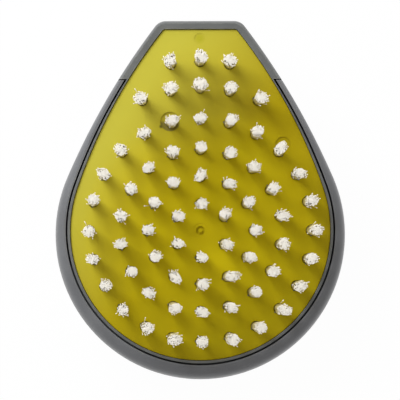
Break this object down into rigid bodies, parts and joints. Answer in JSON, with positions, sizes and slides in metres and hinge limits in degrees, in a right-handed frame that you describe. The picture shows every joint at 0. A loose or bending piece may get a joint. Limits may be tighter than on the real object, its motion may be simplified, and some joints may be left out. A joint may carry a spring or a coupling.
{
  "type": "vegetable brush",
  "caption": "Palm-held teardrop vegetable brush: grey moulded shell and nose frame, olive plate, white nylon tufts in rings.",
  "frame": {"origin": "on the flat rest face of the back, under the middle of the plate's round end", "axes": "+Z along the bristles, +Y towards the nose, +X to the right seen from the bristle side"},
  "size_m": [0.0814, 0.1006, 0.0422],
  "materials": {
    "shell_grey": "fine moulded satin",
    "frame_grey": "fine moulded satin",
    "plate_olive": "soft gloss, as moulded",
    "nylon_white": "translucent nylon filament",
    "anchor_steel": "cut strip"
  },
  "bodies": {
    "root": {"handle_shell": "shell_grey", "head_frame": "frame_grey", "bristle_plate": "plate_olive", "tufts_ring_1": "nylon_white", "tufts_ring_2": "nylon_white", "tufts_ring_3": "nylon_white", "tufts_ring_4": "nylon_white", "tufts_nose_row_1": "nylon_white", "tufts_nose_row_2": "nylon_white", "anchors_ring_1": "anchor_steel", "anchors_ring_2": "anchor_steel", "anchors_ring_3": "anchor_steel", "anchors_ring_4": "anchor_steel", "anchors_nose_row_1": "anchor_steel", "anchors_nose_row_2": "anchor_steel"}
  },
  "joints": []
}
